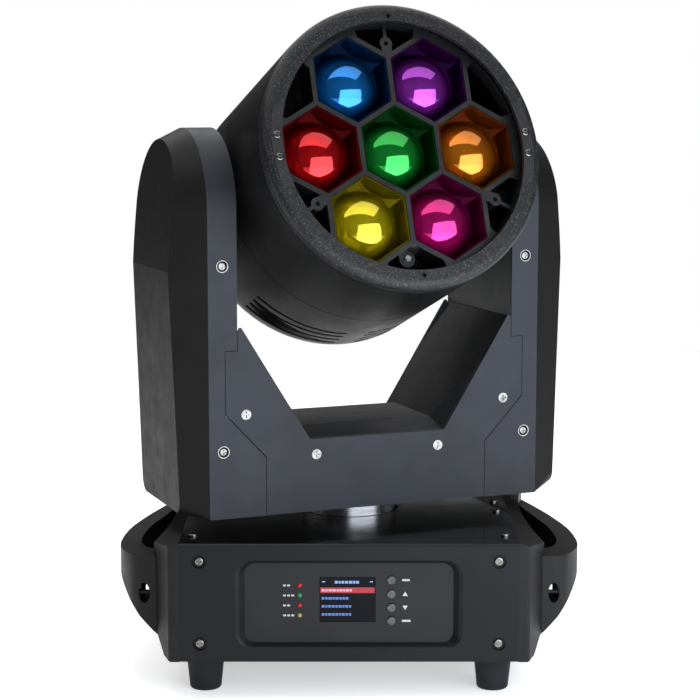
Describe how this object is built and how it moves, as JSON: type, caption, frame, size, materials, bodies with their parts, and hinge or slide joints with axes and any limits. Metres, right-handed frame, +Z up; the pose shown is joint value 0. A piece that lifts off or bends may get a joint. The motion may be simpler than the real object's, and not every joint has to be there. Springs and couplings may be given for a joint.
{
  "type": "moving head wash light",
  "caption": "Moving head light: a square base with carrying handles and display, a panning yoke, and a tilting drum head with a honeycomb of domed lenses.",
  "frame": {"origin": "where the pan axis meets the underside of the base, in the plane of the bracket holes", "axes": "+Z up along the pan axis, -Y out of the front panel with the display, +X to the right seen from the front. The head is stored panned 21.9 degrees and raised 20.1 degrees above level"},
  "size_m": [0.3138, 0.2562, 0.4559],
  "materials": {
    "base_enamel": "black enamel with a low sheen",
    "gloss_black": "high gloss black",
    "casting_black": "satin black powder coat on cast aluminium",
    "yoke_coat": "fine dark blue-grey powder coat",
    "arm_plastic": "fine textured dark grey",
    "head_plastic": "satin dark grey moulding",
    "ring_plastic": "coarse textured black",
    "frame_plastic": "satin black",
    "lens_acrylic": "clear polished acrylic",
    "rubber_black": "matt",
    "nickel_screw": "nickel plated",
    "polished_steel": "turned and polished",
    "display_face": "smooth dark overlay",
    "screen_glass": "glossy display",
    "led_resin": "tinted resin",
    "button_plastic": "gloss black",
    "circuit_board": "green solder mask",
    "connector_plastic": "black moulding",
    "zinc_steel": "zinc plated sheet",
    "cast_alloy": "machined aluminium",
    "motor_steel": "black motor can",
    "belt_rubber": "toothed belt rubber",
    "fan_plastic": "black moulding"
  },
  "bodies": {
    "base": {"base_tray": "base_enamel", "base_feet": "rubber_black", "base_tops": "gloss_black", "front_panel": "base_enamel", "rear_panel": "base_enamel", "side_castings": "casting_black", "base_screws": "nickel_screw", "display_panel": "display_face", "display_screen": "screen_glass", "status_leds": "led_resin", "control_board": "circuit_board", "power_sockets": "connector_plastic", "dmx_input": "connector_plastic", "dmx_output": "connector_plastic", "fuse_holder": "connector_plastic", "power_supply": "zinc_steel", "main_board": "circuit_board", "pan_bridge": "zinc_steel", "pan_bearings": "polished_steel", "pan_motor": "motor_steel", "pan_belt": "belt_rubber"},
    "menu_button_body": {"menu_button": "button_plastic"},
    "up_button_body": {"up_button": "button_plastic"},
    "down_button_body": {"down_button": "button_plastic"},
    "enter_button_body": {"enter_button": "button_plastic"},
    "dmx_latch_body": {"dmx_latch": "connector_plastic"},
    "pan_motor_rotor_body": {"pan_motor_rotor": "polished_steel"},
    "yoke": {"pan_hub": "polished_steel", "pan_pulley": "cast_alloy", "yoke_frame": "zinc_steel", "arm_housings": "yoke_coat", "arm_outer_covers": "arm_plastic", "arm_inner_covers": "arm_plastic", "yoke_plates": "yoke_coat", "saddle_covers": "yoke_coat", "yoke_screws": "nickel_screw", "tilt_bearings": "polished_steel", "tilt_motor": "motor_steel", "tilt_belt": "belt_rubber", "yoke_driver_board": "circuit_board"},
    "tilt_motor_rotor_body": {"tilt_motor_rotor": "polished_steel"},
    "head": {"head_upper_shell": "head_plastic", "head_lower_shell": "head_plastic", "front_ring": "ring_plastic", "ring_clips": "ring_plastic", "ring_screws": "nickel_screw", "head_chassis": "zinc_steel", "tilt_shafts": "polished_steel", "led_board": "cast_alloy", "light_guides": "lens_acrylic", "light_guide_holder": "frame_plastic", "heatsink": "cast_alloy", "fan_frame": "fan_plastic", "head_driver_board": "circuit_board", "zoom_motor": "motor_steel", "guide_rods": "polished_steel"},
    "fan_rotor_body": {"fan_rotor": "fan_plastic"},
    "zoom_carriage": {"lens_frame": "frame_plastic", "lenses": "lens_acrylic"},
    "zoom_lead_screw_body": {"zoom_lead_screw": "polished_steel"}
  },
  "joints": [
    {"name": "pan", "type": "hinge", "parent": "base", "child": "yoke", "pos_m": [0, 0, 0.08], "axis": [0, 0, 1], "range_deg": [-291.9, 248.1]},
    {"name": "pan_motor_spin", "type": "hinge", "parent": "base", "child": "pan_motor_rotor_body", "pos_m": [-0.066, 0, 0.05], "axis": [0, 0, 1], "range_deg": [-1459.5, 1240.5]},
    {"name": "tilt", "type": "hinge", "parent": "yoke", "child": "head", "pos_m": [0, 0, 0.3036], "axis": [0.9278, 0.373, 0], "range_deg": [-204.9, 65.1]},
    {"name": "tilt_motor_spin", "type": "hinge", "parent": "yoke", "child": "tilt_motor_rotor_body", "pos_m": [0.10206, 0.04103, 0.15], "axis": [0.9278, 0.373, 0], "range_deg": [-819.6, 260.4]},
    {"name": "zoom", "type": "slide", "parent": "head", "child": "zoom_carriage", "axis": [0.3503, -0.8713, 0.3437], "range_m": [-0.03, 0]},
    {"name": "zoom_screw_spin", "type": "hinge", "parent": "head", "child": "zoom_lead_screw_body", "pos_m": [0.02311, -0.05749, 0.25067], "axis": [0.3503, -0.8713, 0.3437], "range_deg": [0, 1350.01]},
    {"name": "fan_spin", "type": "hinge", "parent": "head", "child": "fan_rotor_body", "pos_m": [-0.02312, 0.05751, 0.28092], "axis": [0.3503, -0.8713, 0.3437], "continuous": true},
    {"name": "menu_button_press", "type": "slide", "parent": "base", "child": "menu_button_body", "axis": [0, 1, 0], "range_m": [0, 0.0008], "stiffness_N_per_m": 600},
    {"name": "up_button_press", "type": "slide", "parent": "base", "child": "up_button_body", "axis": [0, 1, 0], "range_m": [0, 0.0008], "stiffness_N_per_m": 600},
    {"name": "down_button_press", "type": "slide", "parent": "base", "child": "down_button_body", "axis": [0, 1, 0], "range_m": [0, 0.0008], "stiffness_N_per_m": 600},
    {"name": "enter_button_press", "type": "slide", "parent": "base", "child": "enter_button_body", "axis": [0, 1, 0], "range_m": [0, 0.0008], "stiffness_N_per_m": 600},
    {"name": "dmx_latch_press", "type": "slide", "parent": "base", "child": "dmx_latch_body", "axis": [0, -1, 0], "range_m": [0, 0.0015], "stiffness_N_per_m": 600}
  ],
  "couplings": [
    {"joint": "pan_motor_spin", "follows": "pan", "ratio": 5},
    {"joint": "tilt_motor_spin", "follows": "tilt", "ratio": 4},
    {"joint": "zoom_screw_spin", "follows": "zoom", "rad_per_m": -785.4}
  ]
}
